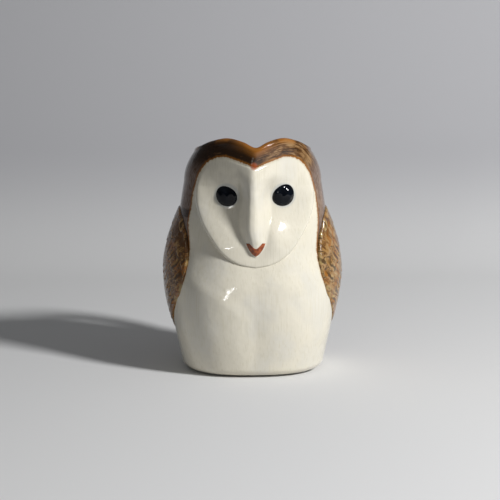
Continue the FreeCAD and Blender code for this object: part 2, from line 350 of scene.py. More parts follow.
# Roughness of each glaze, and the height of the low waves and the strokes in it
CREAM_ROUGHNESS = 0.11
FEATHER_ROUGHNESS = 0.13
EYE_ROUGHNESS = 0.04
BEAK_ROUGHNESS = 0.06
CLAY_ROUGHNESS = 0.85
EYE_SPECULAR = 0.22
CREAM_WAVE = 0.35
CREAM_LINE_DEPTH = 0.035
BROWN_STROKE_DEPTH = 0.12
FEATHER_WAVE = 0.3
FEATHER_TONE_DEPTH = 0.35
EYE_WAVE = 0.8
LOW_WAVE = 0.05
EYE_SHIFT = 5.7

# Sizes of strokes and clouds: cells for each millimetre along the values that they run over
LINE_CELLS = (1.6, 1.6, 0.07)
CLOUD_CELLS = (0.06, 0.06, 0.05)
WAVE_CELLS = (0.13, 0.13, 0.13)
LONG_CELLS = (0.13, 0.9)
FINE_CELLS = (0.40, 2.2)
FINE_LAYER = 7.0
PATCH_CELLS = (0.10, 0.10, 0.10)
EDGE_CELLS = (0.8, 0.25)
EDGE_LAYER = 11.0
STREAK_CELLS = (0.20, 1.1)
WARM_CELLS = (0.13, 0.13, 0.13)
DASH_CELLS = (0.38, 0.38, 0.38)
FEATHER_WAVE_CELLS = (0.2, 0.2, 0.2)
EYE_CELLS = 0.25
BEAK_CELLS = 0.8
CLAY_CELLS = 1.5

# Cream and brown glaze: where a tone begins and ends on the noise, and how much of it is laid on
CREAM_CLOUDS = (0.42, 0.68)
CREAM_STROKES = (0.50, 0.72, 0.45)
LONG_SHARE = 0.6
PATCH_CHANGE = 0.55
# The hood's tone drops on the owl's right, which faces away from the key lamp: painted shade.
SIDE_SHADE_CHANGE = 0.17
SIDE_SHADE_MIDDLE = 0.8
BROWN_STROKES = (0.40, 0.52)
TAN_STROKES = (0.50, 0.64, 0.85)
GREY_STROKES = (0.42, 0.62)
GREY_HOLLOWS = (0.50, 0.36)
# Tan strokes by the lip, laid only on the hood's lit left: painted light.
LIT_SIDE_STROKES = (0.56, 0.66)
AMBER_PATCHES = (0.40, 0.60)

# The same for parts of the hood, in millimetres
# Across this span the hood goes from its shaded right to its lit left: the painted shade of the right ends
# here, and the painted light of the lip's tan strokes begins.
LIT_SIDE_SPAN = (-3.0, 12.0)
GREY_BELOW = (101.0, 92.0, 0.72)
# How far below the lip the tan strokes of the lit left reach: painted light.
LIT_SIDE_LIP = (9.0, 2.5, 0.8)
AMBER_LIP = (3.2, 0.2, 0.8)
AMBER_NOTCH = (15.0, 2.0, 0.8)
NOTCH_DROP = (5.6, 1.6)
# Umber along the crease where the wing meets the body: painted shade.
WING_CREASE_SHADE = (1.6, 0.3, 0.85)
# A dark band over the owl's right shoulder, where the hood meets the wing: a painted shadow.
SHADE_BAND_BOTTOM = (72.2, 73.0, 0.9)
SHADE_BAND_TOP = (77.0, 75.6)
SHADE_BAND_SIDE = (-28.0, -30.0)
SHADE_BAND_BACK = (5.0, -12.0)
NOTCH_SPOT = (-1.0, 98.2)
SPOT_SIZE = (2.2, 1.0, 0.85)
SPOT_DROP = (4.0, 7.0)
EDGE_WOBBLE = 1.6
AMBER_FRINGE = (1.5, 0.3, 0.75)
STRAW_EDGE = (-1.0, 0.0, 0.35)
PAINT_EDGE = (-0.12, 0.22)
STROKES_START = (0.0, 1.0)
EYE_HALO_REACH = (EYE_RADIUS + 1.3, EYE_RADIUS, 0.4)

# The same for the feathers
STREAK_SHARE = 0.55
NUMBER_CHANGE = 0.16
RELIEF_CHANGE = 0.25
RELIEF_MIDDLE = 0.7
# The feathers are darker on the owl's right, which faces away from the key lamp: painted shade.
SHADED_SIDE_DARKER = (10.0, -10.0, 0.13)
OCHRE_TONES = (0.36, 0.46)
TAN_TONES = (0.47, 0.60, 0.9)
STRAW_TONES = (0.58, 0.70, 0.8)
WARM_PATCHES = (0.46, 0.58, 0.75)
WARM_DASHES = (0.56, 0.44)
SHAFT_WANDER = 3.0
SHAFT_WIDTH = (1.0, 0.4, 0.8)
SHAFT_START = (0.6, 2.0)
SHAFT_END = (10.0, 5.0)
SHAFT_NUMBERS = (0.30, 0.45)
FEATHER_SIDES = (1.3, 2.0, 0.6)
FEATHER_HOLLOWS = (0.46, 0.16, 0.9)
OUTER_DEPTH = (-8.0, 4.0)
OUTER_TONES = (0.36, 0.50)
OUTER_STREAKS = (0.40, 0.60)
FEATHER_FRINGE = (1.3, 0.2, 0.5)
FRINGE_DASHES = (0.42, 0.60)

# Stage: a pale floor that sweeps up behind the object. Seen, it is the floor's grey below and the wall's
# darker grey above, darker still to the left; the wall's grey and this darkening are painted shade of the
# lamps' falloff. The light that it throws back is set by the greys of the bounce.
SWEEP_START = 230.0
SWEEP_RADIUS = 300.0
SWEEP_TURN = 70.0
SWEEP_FRONT = -1400.0
SWEEP_HALF_WIDTH = 2200.0
FLOOR_GREY = (0.83, 0.83, 0.83)
SHADED_WALL_GREY = (0.54, 0.54, 0.56)
WALL_HEIGHTS = (-12.0, 64.0)
# The wall darkens towards the left, away from the key lamp: painted shade.
WALL_LEFT_SHADE = (300.0, -420.0, 0.16)
BOUNCE_GREY = (0.62, 0.62, 0.62)
BOUNCE_FRONT = (0.22, 0.22, 0.22)
BOUNCE_DEPTHS = (-40.0, -200.0)
STAGE_ROUGHNESS = 0.9

# Light: a small softbox in front to the right, a dim one to the left, and a fill from above. The
# sky's level is what the camera sees past the edges of the stage.
LAMP_DISTANCE = 1300.0
KEY_AZIMUTH = 52.0
KEY_ELEVATION = 33.0
KEY_SIZE = 210.0
KEY_POWER = 17.1
SIDE_AZIMUTH = -18.0
SIDE_ELEVATION = 8.0
SIDE_SIZE = 70.0
SIDE_POWER = 0.7
FILL_COLOUR = (0.96, 0.98, 1.0, 1.0)
FILL_LEVEL = 0.04
FILL_ABOVE = 0.20
SKY_LEVEL = 0.42

# Camera: a long lens a little to the owl's right, looking slightly down
CAMERA_DISTANCE = 800.0
CAMERA_AZIMUTH = -2.5
CAMERA_HEIGHT = 185.0
CAMERA_SHIFT = -1.2
LOOK_HEIGHT = 54.7
LENS = 123.9
SENSOR_WIDTH = 36.0


def column(rows, number):
    """One column of a table as an array."""
    return np.array([row[number] for row in rows], float)


def smooth(rows, at, number=1, level=False):
    """A smooth value through a column of a table, whose first column is the place."""
    places = column(rows, 0)
    values = column(rows, number)
    slopes = np.gradient(values, places)
    if level:
        slopes[0] = slopes[-1] = 0.0
    at = np.clip(at, places[0], places[-1])
    i = np.clip(np.searchsorted(places, at) - 1, 0, len(rows) - 2)
    span = places[i + 1] - places[i]
    t = (at - places[i]) / span
    start = values[i] * (1 + 2 * t) + slopes[i] * span * t
    end = values[i + 1] * (3 - 2 * t) - slopes[i + 1] * span * (1 - t)
    return start * (1 - t) ** 2 + end * t ** 2


def step(low, high, at):
    """0 below low, 1 above high, and a smooth rise between. Low may be above high."""
    t = np.clip((at - low) / (high - low), 0.0, 1.0)
    return t * t * (3 - 2 * t)


def hill(x, z, rise, middle_x, middle_z, wide, tall):
    """A round hill, or a hollow where its rise is below zero."""
    return rise * np.exp(-((x - middle_x) / wide) ** 2 - ((z - middle_z) / tall) ** 2)


def noise(x, y, seed):
    """Smooth values from -1 to 1 on a grid of unit cells."""
    cells = np.random.default_rng(seed).uniform(-1, 1, (64, 64))
    i, j = np.floor(x).astype(int), np.floor(y).astype(int)
    s, t = x - i, y - j
    s, t = s * s * (3 - 2 * s), t * t * (3 - 2 * t)
    rows = [cells[(i + k) % 64, j % 64] * (1 - t) + cells[(i + k) % 64, (j + 1) % 64] * t for k in (0, 1)]
    return rows[0] * (1 - s) + rows[1] * s


def rim_height(angle):
    """Top of the lip at an angle from the back."""
    return HEIGHT * smooth(RIM_SHARES, np.abs(angle), level=True)


def crown_rise(angle, z):
    """How far a height is up the crown, from 0 at its start to 1 at the lip."""
    return np.clip((z - CROWN_START) / (rim_height(angle) - LIP_RADIUS - CROWN_START), 0.0, 1.0)


def skin(angle, z, out=0.0):
    """Points of the body's outer surface, moved outwards by a distance."""
    angle, z, out = np.broadcast_arrays(np.asarray(angle, float), np.asarray(z, float), out)
    share = np.clip(z / CROWN_START, 0.0, 1.0)
    rise = crown_rise(angle, z)
    half = BODY_HALF_WIDTH * smooth(TRUNK_SHARES, share, 1)
    front = CHEST_REACH * smooth(TRUNK_SHARES, share, 2)
    back = BACK_REACH * smooth(TRUNK_SHARES, share, 3)
    half = half + (RIM_HALF_WIDTH - half) * rise ** 2
    front = front + (RIM_FRONT_REACH - front) * rise ** 2
    back = back + (RIM_BACK_REACH - back) * rise ** 2
    side = np.sin(np.radians(angle))
    along = np.cos(np.radians(angle))
    power = np.where(along > 0, BACK_POWER, FRONT_POWER)
    radius = (np.abs(side) ** power + np.abs(along) ** power) ** (-1 / power)
    depth = np.where(along > 0, back, front)
    return np.stack([(half + out) * radius * side, (depth + out) * radius * along, z], -1)


def front_angle(x, z):
    """The angle at which the front of the skin has a place across, found by halving."""
    low, high = np.full(x.shape, 90.0), np.full(x.shape, 180.0)
    for _ in range(22):
        middle = (low + high) / 2
        outside = skin(middle, z)[..., 0] > np.abs(x)
        low, high = np.where(outside, middle, low), np.where(outside, high, middle)
    return low


def ridged(x, radius):
    """A distance from the middle that is rounded off at the middle."""
    return np.sqrt(x ** 2 + radius ** 2) - radius


def ridge_lean(z):
    """How far the ridge of the nose and the brow leans to the owl's right."""
    return NOSE_LEAN * step(*LEAN_START, z) * step(*LEAN_END, z)


def brow(x, z, angle):
    """How far the wedge of the brow stands out of the skin, shared by body and face."""
    climb = np.clip((z - CROWN_START) / BROW_HEIGHT, -1.0, 0.0) + 1 + crown_rise(angle, z)
    out = ridged(x + ridge_lean(z), BROW_RIDGE_RADIUS)
    slope = np.clip(1 - out / BROW_HALF_WIDTH, 0.0, 1.0) ** BROW_POWER
    return BROW_RISE * smooth(BROW_SHARES, climb, level=True) * slope * (np.abs(angle) > 90.0)


def breast(x, z):
    """The modelling of the breast: two round thighs under a bib, parted by a cleft."""
    across = np.abs(x)
    below = step(BIB_BLUR, -BIB_BLUR, z - BIB_HEIGHT - BIB_SLOPE * across)
    thigh = THIGH_RISE * step(*THIGH_INNER, across) * step(*THIGH_OUTER, across)
    cleft = CLEFT_DEPTH * np.exp(-(across / CLEFT_WIDTH) ** 2)
    hills = hill(across, z, *CROP_HILL) + hill(across, z, *NECK_HOLLOW) + hill(x, z, *FOLD_HILL)
    return (thigh - cleft) * below * step(*BREAST_FOOT, z) + hills


def nose(x, z):
    """How far the nose stands out: steep on the owl's right of a leaning ridge, and soft on its left."""
    half = smooth(NOSE_ROWS, z, 1)
    reach = np.clip(smooth(NOSE_ROWS, z, 2), 0.0, None)
    from_ridge = x + ridge_lean(z)
    out = ridged(np.clip(-from_ridge - NOSE_FLAT, 0.0, None), NOSE_RIDGE_RADIUS)
    steep = 1 - (out / ridged(np.clip(half - NOSE_FLAT, 0.1, None), NOSE_RIDGE_RADIUS)) ** NOSE_POWER
    steep = (steep + np.sqrt(steep ** 2 + NOSE_FOOT_BLEND)) / 2
    soft = np.clip(1 - (np.clip(from_ridge, 0.0, None) / (half * NOSE_SOFT_SHARE)) ** 2, 0.0, 1.0) ** 2
    cheek = hill(x, z, CHEEK_LIFT, *CHEEK_MIDDLE, *CHEEK_SIZE)
    return reach * np.where(from_ridge < 0, steep, soft * NOSE_SOFT_RISE) + cheek


def face_point(x, z, lift):
    """Points of the face at a lift over the skin and its brow."""
    angle = front_angle(x, z)
    at = skin(angle, z)
    return np.stack([x, at[..., 1] - brow(x, z, angle) - lift, z], -1)


def face_lift(x, z, inset):
    """Lift of the face plate with its rounded edge, shallow dishes and nose."""
    out = np.clip(np.abs(x) - PLATE_FLAT, 0.0, None) / (PLATE_HALF_WIDTH - PLATE_FLAT)
    plate = smooth(PLATE_LIFTS, z) + smooth(PLATE_LIFTS, z, 2) * out ** 2
    edge = 1 - np.exp(-inset / FACE_EDGE_ROUND)
    return (plate + FACE_SUNK) * edge - FACE_SUNK + nose(x, z) * edge


def through(points, count):
    """An open smooth curve through points, sampled evenly."""
    points = np.array(points, float)
    along = np.r_[0.0, np.cumsum(np.hypot(*np.diff(points, axis=0).T))]
    at = np.linspace(0.0, along[-1], count)
    rows = [(a, *p) for a, p in zip(along, points)]
    return np.stack([smooth(rows, at, 1), smooth(rows, at, 2)], -1)


def round_through(points, count):
    """A closed smooth curve through points, sampled evenly."""
    many = len(points)
    wrapped = through(points[-3:] + points + points[:4], count * (many + 6) // many * 4)
    gap = np.hypot(*(wrapped - points[0]).T)
    half = len(wrapped) // 2
    loop = wrapped[np.argmin(gap[:half + 1]):half + np.argmin(gap[half:])]
    return loop[np.linspace(0, len(loop), count, endpoint=False).astype(int)]


def wing_outline(count):
    """The outline of a wing as (angle, height)."""
    return round_through(WING_SHARES, count) * (1.0, WING_LENGTH) + (0.0, WING_TIP_HEIGHT)


def both_halves(half):
    """A closed outline from its left half, which starts and ends in the middle."""
    return np.concatenate([half, half[-2:0:-1] * (-1, 1)])


def both_arms(arm):
    """An open line from its left half, which starts in the middle."""
    return np.concatenate([arm[:0:-1] * (-1, 1), arm])


def near_line(points, line):
    """Distance of each point from a line of points, and how far along the line it is nearest."""
    starts, ways = line[:-1], np.diff(line, axis=0)
    lengths = np.linalg.norm(ways, axis=1)
    before = np.r_[0.0, np.cumsum(lengths)]
    best = np.full(len(points), 1e9)
    along = np.zeros(len(points))
    for start, way, length, sofar in zip(starts, ways, lengths, before):
        t = np.clip((points - start) @ way / length ** 2, 0.0, 1.0)
        gap = np.linalg.norm(points - start - t[:, None] * way, axis=1)
        closer = gap < best
        best = np.where(closer, gap, best)
        along = np.where(closer, sofar + t * length, along)
    return best, along


def inside(points, corners):
    """Whether each flat point lies inside a closed outline."""
    x, y = points.T
    found = np.zeros(len(points), bool)
    for (x1, y1), (x2, y2) in zip(corners, np.roll(corners, -1, axis=0)):
        if y1 != y2:
            crosses = ((y1 > y) != (y2 > y)) & (x < x1 + (x2 - x1) * (y - y1) / (y2 - y1))
            found ^= crosses
    return found


def mirrored(angle, z):
    """An angle of either side as one of the owl's left, with the set-back of its right taken out."""
    right = (angle < 0) * step(*SET_BACK_ANGLES, np.abs(angle)) * step(*SET_BACK_HEIGHTS, z)
    return np.abs(angle) + RIGHT_SET_BACK * right


def paint_line():
    """The edge of the brown paint as (angle, height), from the notch over the side to the back."""
    top = through(FACE_OUTLINE[:FACE_SIDE_POINTS], 60)[:-4]
    angles = front_angle(top[:, 0], top[:, 1])
    side = through(PAINT_SIDE, 90)
    return np.concatenate([np.stack([angles, top[:, 1]], -1), side])


def flow_line():
    """The line that brush strokes follow: the side of the face, and then straight down."""
    upper = paint_line()[:80]
    lower = [(FLOW_ANGLE, z) for z in np.linspace(*FLOW_ENDS, 20)]
    return np.concatenate([upper[upper[:, 1] > FLOW_TURN], lower])


def paint_marks(angle, z):
    """How far points are inside the brown paint, and their places along and across its strokes."""
    turned = mirrored(angle, z)
    at = skin(turned, z)
    line = paint_line()
    gap, _ = near_line(at, skin(line[:, 0], line[:, 1]))
    cream = np.concatenate([line, BELOW_PAINT])
    gap = np.where(inside(np.stack([turned, z], -1), cream), -gap, gap)
    flow = flow_line()
    across, along = near_line(at, skin(flow[:, 0], flow[:, 1]))
    return gap, along * np.sign(angle), across


def make_mesh(name, points, quads, caps, marks):
    """A smooth mesh object from points in millimetres, with its values at each point."""
    mesh = bpy.data.meshes.new(name)
    faces = [list(map(int, quad)) for quad in quads] + [list(map(int, cap)) for cap in caps]
    mesh.from_pydata((np.asarray(points) * MM).tolist(), [], faces)
    for mark, values in marks.items():
        layer = mesh.attributes.new(mark, "FLOAT", "POINT")
        layer.data.foreach_set("value", np.asarray(values, np.float32).ravel())
    mesh.validate()
    mesh.shade_smooth()
    piece = bpy.data.objects.new(name, mesh)
    bpy.context.collection.objects.link(piece)
    return piece


def tube_faces(rows, columns):
    """Quads between closed rings of points, and a cap at each end."""
    index = np.arange(rows * columns).reshape(rows, columns)
    turned = np.roll(index, -1, axis=1)
    quads = np.stack([index[:-1], turned[:-1], turned[1:], index[1:]], -1).reshape(-1, 4)
    return quads, [index[0][::-1], index[-1]]


def arc(first, last, count):
    """Angles in radians between two in degrees."""
    return np.radians(np.linspace(first, last, count))


def stand(piece, material, slot, *nodes):
    """Gives a piece its material and its body, and hides the parts of the nodes that it stands for. The slot
    is not used.
    """
    piece.data.materials.append(material)
    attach(piece, "root")
    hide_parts(*nodes)
    return piece


def make_body(material):
    """The body: one skin from the underside up, over the lip and down to the floor of the hollow."""
    angles = np.linspace(-180.0, 180.0, BODY_COLUMNS, endpoint=False)
    rim = rim_height(angles)
    crown = rim - LIP_RADIUS - CROWN_START
    floor = FOOT_HEIGHT + FLOOR_THICKNESS
    levels, outs = [], []

    def add(z, out):
        """Adds a row of the skin at a height, so far out of it."""
        levels.append(np.broadcast_to(z, angles.shape))
        outs.append(np.full(angles.shape, out))

    for turn in arc(0, 90, CORNER_ROWS):
        add(FOOT_HEIGHT + BASE_ROUND * (1 - math.cos(turn)), -BASE_ROUND * (1 - math.sin(turn)))
    for z in np.linspace(FOOT_HEIGHT + BASE_ROUND, CROWN_START, TRUNK_ROWS)[1:]:
        add(z, 0.0)
    for share in np.linspace(0, 1, CROWN_ROWS)[1:]:
        add(CROWN_START + share * crown, 0.0)
    for turn in arc(0, 180, LIP_ROWS)[1:]:
        add(rim - LIP_RADIUS + LIP_RADIUS * math.sin(turn), -LIP_RADIUS * (1 - math.cos(turn)))
    for share in np.linspace(1, 0, INNER_CROWN_ROWS)[1:]:
        add(CROWN_START + share * crown, -WALL)
    for z in np.linspace(CROWN_START, floor + FLOOR_ROUND, INNER_ROWS)[1:]:
        add(z, -WALL)
    for turn in arc(90, 0, CORNER_ROWS)[1:]:
        add(floor + FLOOR_ROUND * (1 - math.cos(turn)), -WALL - FLOOR_ROUND * (1 - math.sin(turn)))

    z = np.array(levels)
    out = np.array(outs)
    angle = np.broadcast_to(angles, z.shape)
    at = skin(angle, z, out)
    fore = step(*BREAST_ANGLES, np.abs(angle)) * (out > -WALL) * step(*BREAST_TOP, z)
    at = skin(angle, z, out + breast(at[..., 0], z) * fore)
    at[..., 1] -= brow(at[..., 0], z, angle)

    flat = angle.ravel(), z.ravel()
    gap, along, across = paint_marks(*flat)
    depth = (rim - z).ravel()
    hidden = (out <= -LIP_RADIUS).ravel() & (z > INNER_START).ravel()
    gap = np.where(hidden, INNER_BROWN - depth, gap)
    places = np.stack([mirrored(*flat) * ARC_PER_DEGREE, flat[1]], -1)
    # Distance from the wing's outline, which carries the painted shade along its crease.
    seam, _ = near_line(places, wing_outline(200) * (ARC_PER_DEGREE, 1.0))
    quads, caps = tube_faces(*z.shape)
    depth = np.where(hidden, 0.0, depth)
    marks = {"paint": gap, "along": along, "across": across, "lip": depth, "seam": seam}
    piece = make_mesh("owl_body", at.reshape(-1, 3), quads, caps, marks)
    return stand(piece, material, "cream_glaze", "body_shell")


def make_face(material):
    """The face plate with its nose: rings from the hidden back round the edge to the middle."""
    outline = both_halves(through(FACE_OUTLINE, FACE_COLUMNS // 2 + 1))
    arms = outline - (0.0, FACE_MIDDLE)
    reach = np.hypot(*arms.T)
    back = [(share, True) for share in (*HIDDEN_RINGS, 0.9)]
    front = [(share, False) for share in 1 - np.linspace(0, 1, FACE_RINGS)[:-1] ** 1.35]
    points, eye = [], []
    for share, sunk in back + front:
        x, z = (arms * share + (0.0, FACE_MIDDLE)).T
        inset = reach * (1 - share)
        lift = np.full(x.shape, -FACE_SUNK) if sunk else face_lift(x, z, inset)
        points.append(face_point(x, z, lift))
        eye.append(np.hypot(np.abs(x) - EYE_ACROSS, z - EYE_HEIGHT))
    points = np.array(points)
    x, z = points[..., 0].ravel(), points[..., 2].ravel()
    gap, along, across = paint_marks(front_angle(x, z) * np.where(x < 0, -1, 1), z)
    gap = np.where(z < PAINT_LOWEST_ON_FACE, PAINT_LOW, gap)
    far = np.full(gap.shape, FAR)
    quads, caps = tube_faces(*points.shape[:2])
    marks = {"paint": gap, "along": along, "across": across, "eye": np.array(eye), "lip": far, "seam": far}
    piece = make_mesh("owl_face", points.reshape(-1, 3), quads, caps, marks)
    return stand(piece, material, "face_glaze", "facial_disc", "nose_ridge")


def make_beak(material):
    """The V of the beak, a low raised shape on the tip of the nose."""
    outer = both_arms(through(BEAK_OUTER, BEAK_COLUMNS))
    inner = both_arms(through(BEAK_INNER, BEAK_COLUMNS))
    loops = []
    shares = np.linspace(0, 1, BEAK_RINGS)
    front = [(share, BEAK_LIFT * math.sqrt(math.sin(math.pi * share))) for share in shares]
    back = [(share, -BEAK_SUNK) for share in (0.97, 0.5, 0.03)]
    for share, lift in front + back:
        x, z = (outer + (inner - outer) * share).T
        loops.append(face_point(x, z, face_lift(x, z, np.full(x.shape, FAR)) + lift))
    points = np.array(loops).transpose(1, 0, 2)
    quads, caps = tube_faces(*points.shape[:2])
    piece = make_mesh("owl_beak", points.reshape(-1, 3), quads, caps, {})
    return stand(piece, material, "beak_glaze", "beak")


def make_eye(name, side, node, material):
    """A glossy cap of a ball, square to the face where it sits."""
    def seat(across, up):
        """A place on the face plate."""
        return face_point(np.array([across]), np.array([up]), smooth(PLATE_LIFTS, up))[0]

    ball = (EYE_RADIUS ** 2 + EYE_PROUD ** 2) / (2 * EYE_PROUD)
    slope_x = seat(EYE_ACROSS + EYE_RADIUS, EYE_HEIGHT) - seat(EYE_ACROSS - EYE_RADIUS, EYE_HEIGHT)
    slope_z = seat(EYE_ACROSS, EYE_HEIGHT + EYE_RADIUS) - seat(EYE_ACROSS, EYE_HEIGHT - EYE_RADIUS)
    slope_x /= np.linalg.norm(slope_x)
    slope_z /= np.linalg.norm(slope_z)
    outward = np.cross(slope_x, slope_z)
    middle = seat(EYE_ACROSS, EYE_HEIGHT) + outward * (EYE_PROUD - ball)
    turns = np.linspace(0, 2 * math.pi, EYE_COLUMNS, endpoint=False)
    rings = []
    for share in EYE_RINGS:
        radius = EYE_RADIUS * share
        across = np.outer(np.cos(turns), slope_x * radius)
        up = np.outer(np.sin(turns), slope_z * radius * EYE_TALLER)
        rings.append(middle + outward * math.sqrt(ball ** 2 - radius ** 2) + across + up)
    points = np.array(rings) * (side, 1.0, 1.0)
    quads, caps = tube_faces(*points.shape[:2])
    if side < 0:
        quads, caps = quads[:, ::-1], [cap[::-1] for cap in caps]
    piece = make_mesh(name, points.reshape(-1, 3), quads, caps, {})
    return stand(piece, material, "eye_glaze", node)


def feathers(angle, z):
    """Overlapping feathers that run to the wing's tip: relief, distance from the free edge,
    place across the feather and a number that differs from feather to feather."""
    first_angle, first_z = WING_SHOULDER
    back = (first_angle - mirrored(angle, z)) * ARC_PER_DEGREE
    down = first_z - z
    tip_back = (first_angle - WING_TIP[0]) * ARC_PER_DEGREE
    tip_down = first_z - WING_TIP[1] + FEATHER_TIP_DROP
    cell = FEATHER_WANDER_CELL
    back = back + FEATHER_WANDER * noise(back / cell, down / cell, 3)
    down = down + FEATHER_WANDER * noise(back / cell + 31, down / cell, 4)
    radius = np.hypot(tip_back - back, tip_down - down)
    turn = np.degrees(np.arctan2(tip_down - down, tip_back - back))
    row_at = smooth(FEATHER_ROWS, FEATHER_REACH - radius)
    column_at = turn / FEATHER_FAN
    row = np.floor(row_at)
    for attempt in range(2):
        middle = np.floor(column_at + 0.5 * (row % 2)) + 0.5
        u = column_at + 0.5 * (row % 2) - middle
        left = row + 1 - FEATHER_CURVE * (2 * u) ** 2 - row_at
        row = np.where((left < 0) & (attempt == 0), row + 1, row)
    middle = np.floor(column_at + 0.5 * (row % 2)) + 0.5
    u = column_at + 0.5 * (row % 2) - middle
    left = np.clip(row + 1 - FEATHER_CURVE * (2 * u) ** 2 - row_at, 0.0, 2.0)
    length = np.gradient(column(FEATHER_ROWS, 0), column(FEATHER_ROWS, 1))
    length = np.interp(row_at, column(FEATHER_ROWS, 1), length)
    edge = left * length
    relief = (FEATHER_FOOT + (1 - FEATHER_FOOT) * np.clip(1 - left, 0, 1)) * step(0.0, FEATHER_EDGE, edge)
    relief = relief + FEATHER_FOOT * np.clip(1 - (2 * u) ** 2, 0, 1)
    number = np.abs(np.sin(row * 12.9898 + middle * 78.233) * 43758.5453) % 1.0
    return relief, edge, u * radius * math.radians(FEATHER_FAN), number


def make_pad(name, outline, middle, lift_at, marks_at, side, material, node, rings, sunk):
    """A raised piece wrapped on the body: rings from its hidden back round the edge to its middle."""
    arms = outline - middle
    shares = [(share, True) for share in (*HIDDEN_RINGS, 0.93, 1.0)]
    shares += [(share, False) for share in 1 - np.linspace(0, 1, rings)[:-1] ** 1.25]
    points, angles, heights = [], [], []
    for share, hidden in shares:
        angle, z = (arms * share + middle).T
        angle = angle - (side < 0) * RIGHT_SET_BACK * step(*SET_BACK_ANGLES, angle)
        lift = np.full(z.shape, -sunk) if hidden else lift_at(side * angle, z, share)
        points.append(skin(side * angle, z, lift))
        angles.append(side * angle)
        heights.append(z)
    points = np.array(points)
    quads, caps = tube_faces(*points.shape[:2])
    if side < 0:
        quads, caps = quads[:, ::-1], [cap[::-1] for cap in caps]
    marks = marks_at(np.ravel(angles), np.ravel(heights))
    piece = make_mesh(name, points.reshape(-1, 3), quads, caps, marks)
    return stand(piece, material, "brown_glaze", node)


def wing_lift(angle, z, share):
    """Lift of the wing with its feathers, which fade at its edge."""
    relief = feathers(angle, z)[0]
    edge = WING_EDGE * math.sqrt(min(1.0, (1 - share) * 40))
    bulge = WING_BULGE * (1 - share ** 2) ** WING_POWER
    return edge + bulge + FEATHER_RELIEF * (relief - 0.5) * step(0.0, 0.1, 1 - share)


def wing_marks(angle, z):
    """Paint values of a wing."""
    relief, edge, across, number = feathers(angle, z)
    gap, along, _ = paint_marks(angle, z)
    return {"paint": gap, "along": FEATHER_REACH - along, "across": across, "rim": edge,
            "relief": relief, "number": number}


def make_wing(name, side, node, material):
    """A folded wing with carved feathers."""
    outline = wing_outline(WING_COLUMNS)
    return make_pad(name, outline, WING_MIDDLE, wing_lift, wing_marks, side, material, node,
                    WING_RINGS, WING_SUNK)


def tail_grooves(angle, z):
    """0 in the grooves between the tail feathers and up to 1 on the feathers."""
    fan = 1 + TAIL_GROOVE_FAN * (30 - z)
    return np.abs(np.sin(np.radians(angle) * TAIL_GROOVES * fan)) ** 0.5


def tail_lift(angle, z, share):
    """Lift of the tail with long grooves between its feathers."""
    edge = TAIL_EDGE * math.sqrt(min(1.0, (1 - share) * 30))
    bulge = TAIL_BULGE * (1 - share ** 2)
    return edge + bulge + TAIL_RELIEF * (tail_grooves(angle, z) - 1) * step(0.0, 0.15, 1 - share)


def tail_marks(angle, z):
    """Paint values of the tail."""
    return {"paint": np.full(z.shape, FAR), "along": TAIL_TOP - z, "across": angle * ARC_PER_DEGREE,
            "rim": z - TAIL_FOOT, "relief": 1.2 * tail_grooves(angle, z),
            "number": np.full(z.shape, 0.4)}


def make_tail(material):
    """The short tail between the wing tips."""
    outline = both_halves(through(TAIL_OUTLINE, TAIL_COLUMNS))
    return make_pad("owl_tail", outline, TAIL_MIDDLE, tail_lift, tail_marks, 1, material, "tail", TAIL_RINGS,
                    TAIL_SUNK)


def make_handle(material):
    """The loop handle, flared where it joins the back."""
    top = HEIGHT - HANDLE_TOP_DROP
    middle = (top + HANDLE_BOTTOM) / 2
    half = (top - HANDLE_BOTTOM) / 2
    root = skin(0.0, middle)[1]
    around = np.linspace(0, 2 * math.pi, HANDLE_COLUMNS, endpoint=False)
    rings = []
    for turn in arc(-90, 90, HANDLE_ROWS):
        flare = 1 + (HANDLE_ROOT_SHARE - 1) * (abs(turn) / math.radians(90)) ** 4
        centre = np.array([0.0, root + HANDLE_REACH * math.cos(turn), middle + half * math.sin(turn)])
        way = np.array([0.0, -HANDLE_REACH * math.sin(turn), half * math.cos(turn)])
        outward = np.cross([1.0, 0.0, 0.0], way / np.linalg.norm(way))
        across = np.outer(np.cos(around), [HANDLE_WIDTH / 2 * flare, 0, 0])
        rings.append(centre + across + np.outer(np.sin(around), outward * HANDLE_THICKNESS / 2 * flare))
    sunk = (0.0, HANDLE_SINK, 0.0)
    points = np.array([rings[0] - sunk, *rings, rings[-1] - sunk])
    along = np.r_[0.0, HANDLE_ROW_LENGTH * np.arange(1, HANDLE_ROWS + 1), HANDLE_ROW_LENGTH * HANDLE_ROWS + 1]
    far = np.full(points.shape[:2], FAR)
    marks = {"paint": far, "along": np.repeat(along, HANDLE_COLUMNS), "lip": far, "seam": far,
             "across": np.tile(around * HANDLE_TURN_LENGTH, len(points))}
    quads, caps = tube_faces(*points.shape[:2])
    piece = make_mesh("owl_handle", points.reshape(-1, 3), quads, caps, marks)
    return stand(piece, material, "brown_glaze", "handle")


